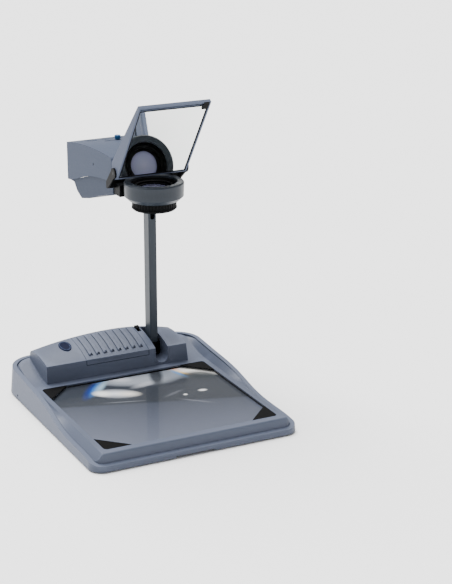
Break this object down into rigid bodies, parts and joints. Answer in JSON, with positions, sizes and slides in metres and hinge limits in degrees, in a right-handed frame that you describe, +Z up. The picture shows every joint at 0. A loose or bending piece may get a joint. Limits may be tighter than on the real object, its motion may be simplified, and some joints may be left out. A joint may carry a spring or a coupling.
{
  "type": "overhead projector",
  "caption": "Portable reflective overhead projector: flat stage base with rear housing, folding column, lamp head with focusing lens and tilting mirror lid.",
  "frame": {"origin": "on the resting surface, under the middle of the base", "axes": "+Z up, +X to the operator's right, -Y towards the stage's open front edge"},
  "size_m": [0.3398, 0.3997, 0.5119],
  "materials": {
    "grey_plastic": "fine moulded texture",
    "black_plastic": "satin black",
    "mask_black": "matt black",
    "clear_plate": "clear, polished",
    "fresnel": "fine ring grooves",
    "backing_board": "board",
    "badge_blue": "domed gloss",
    "lever_blue": "satin",
    "steel": "plain",
    "brass": "plain",
    "core_iron": "laminated",
    "copper": "enamelled winding",
    "circuit_board": "board",
    "components": "plain",
    "rubber": "matt",
    "column_paint": "satin paint",
    "holder_paint": "satin",
    "sheet_metal": "plain",
    "bright_metal": "polished",
    "mirror": "first-surface mirror",
    "optical_glass": "clear",
    "lens_glass": "coated",
    "ceramic": "unglazed"
  },
  "bodies": {
    "base": {"base_tray": "grey_plastic", "deck_cover": "grey_plastic", "stage_pan": "black_plastic", "stage_glass": "clear_plate", "corner_masks": "mask_black", "fresnel_mirror": "fresnel", "fresnel_backing": "backing_board", "rear_housing": "grey_plastic", "vent_panel": "grey_plastic", "badge": "badge_blue", "column_well": "grey_plastic", "pivot_fork": "black_plastic", "hub_pin": "steel", "lever_pin": "steel", "inlet_socket": "black_plastic", "inlet_pins": "brass", "switch_frame": "black_plastic", "fuse_holder": "black_plastic", "transformer_core": "core_iron", "transformer_winding": "copper", "power_board": "circuit_board", "board_parts": "components", "rubber_feet": "rubber", "base_screws": "steel"},
    "lever": {"release_lever": "black_plastic"},
    "rocker": {"power_rocker": "black_plastic"},
    "column": {"column_tube": "column_paint", "column_knuckle": "black_plastic", "column_cap": "black_plastic"},
    "head": {"head_carriage": "black_plastic", "head_cover": "grey_plastic", "head_lower_cover": "grey_plastic", "lamp_chassis": "sheet_metal", "reflector": "bright_metal", "relay_mirror": "mirror", "condenser_ring": "sheet_metal", "condenser_lens": "optical_glass", "heat_glass": "optical_glass", "fan_frame": "black_plastic", "cover_screws": "steel", "lens_holder": "holder_paint", "lens_barrel": "black_plastic", "focus_clip": "black_plastic", "hinge_bracket": "black_plastic", "hinge_pins": "steel"},
    "clamp": {"height_knob": "black_plastic", "clamp_screw": "steel"},
    "lamps": {"lamp_carriage": "black_plastic", "lamp_bases": "ceramic", "lamp_bulbs": "optical_glass", "lamp_lever": "lever_blue"},
    "fan": {"fan_rotor": "black_plastic"},
    "focus": {"focus_ring": "black_plastic"},
    "cell": {"lens_cell": "black_plastic", "upper_lens": "lens_glass", "lower_lens": "lens_glass", "lens_spacer": "black_plastic"},
    "mirror": {"mirror_shell": "grey_plastic", "mirror_glass": "mirror", "mirror_clip": "black_plastic"}
  },
  "joints": [
    {"name": "column_fold", "type": "hinge", "parent": "base", "child": "column", "pos_m": [0.075, 0.139, 0.049], "axis": [1, 0, 0], "range_deg": [0, 50]},
    {"name": "head_height", "type": "slide", "parent": "column", "child": "head", "axis": [0, 0, 1], "range_m": [-0.02, 0.01]},
    {"name": "height_clamp", "type": "hinge", "parent": "head", "child": "clamp", "pos_m": [0.09, 0.139, 0.352], "axis": [1, 0, 0], "range_deg": [0, 180]},
    {"name": "mirror_tilt", "type": "hinge", "parent": "head", "child": "mirror", "pos_m": [0, -0.023, 0.394], "axis": [1, 0, 0], "range_deg": [-12, 50]},
    {"name": "focus_turn", "type": "hinge", "parent": "head", "child": "focus", "pos_m": [0, -0.047, 0.348], "axis": [0, 0, 1], "range_deg": [-110, 110]},
    {"name": "focus_travel", "type": "slide", "parent": "head", "child": "cell", "axis": [0, 0, 1], "range_m": [-0.0025, 0.0025]},
    {"name": "lamp_change", "type": "slide", "parent": "head", "child": "lamps", "axis": [-1, 0, 0], "range_m": [0, 0.017]},
    {"name": "fan_spin", "type": "hinge", "parent": "head", "child": "fan", "pos_m": [0.009, 0.166, 0.372], "axis": [0, 1, 0], "continuous": true},
    {"name": "lever_release", "type": "hinge", "parent": "base", "child": "lever", "pos_m": [0.0576, 0.16, 0.064], "axis": [-1, 0, 0], "range_deg": [0, 12], "stiffness_Nm_per_rad": 0.2},
    {"name": "power_switch", "type": "hinge", "parent": "base", "child": "rocker", "pos_m": [0.016, 0.179, 0.058], "axis": [0, 0, 1], "range_deg": [-12, 0]}
  ],
  "couplings": [
    {"joint": "focus_travel", "follows": "focus_turn", "m_per_rad": 0.0012}
  ]
}
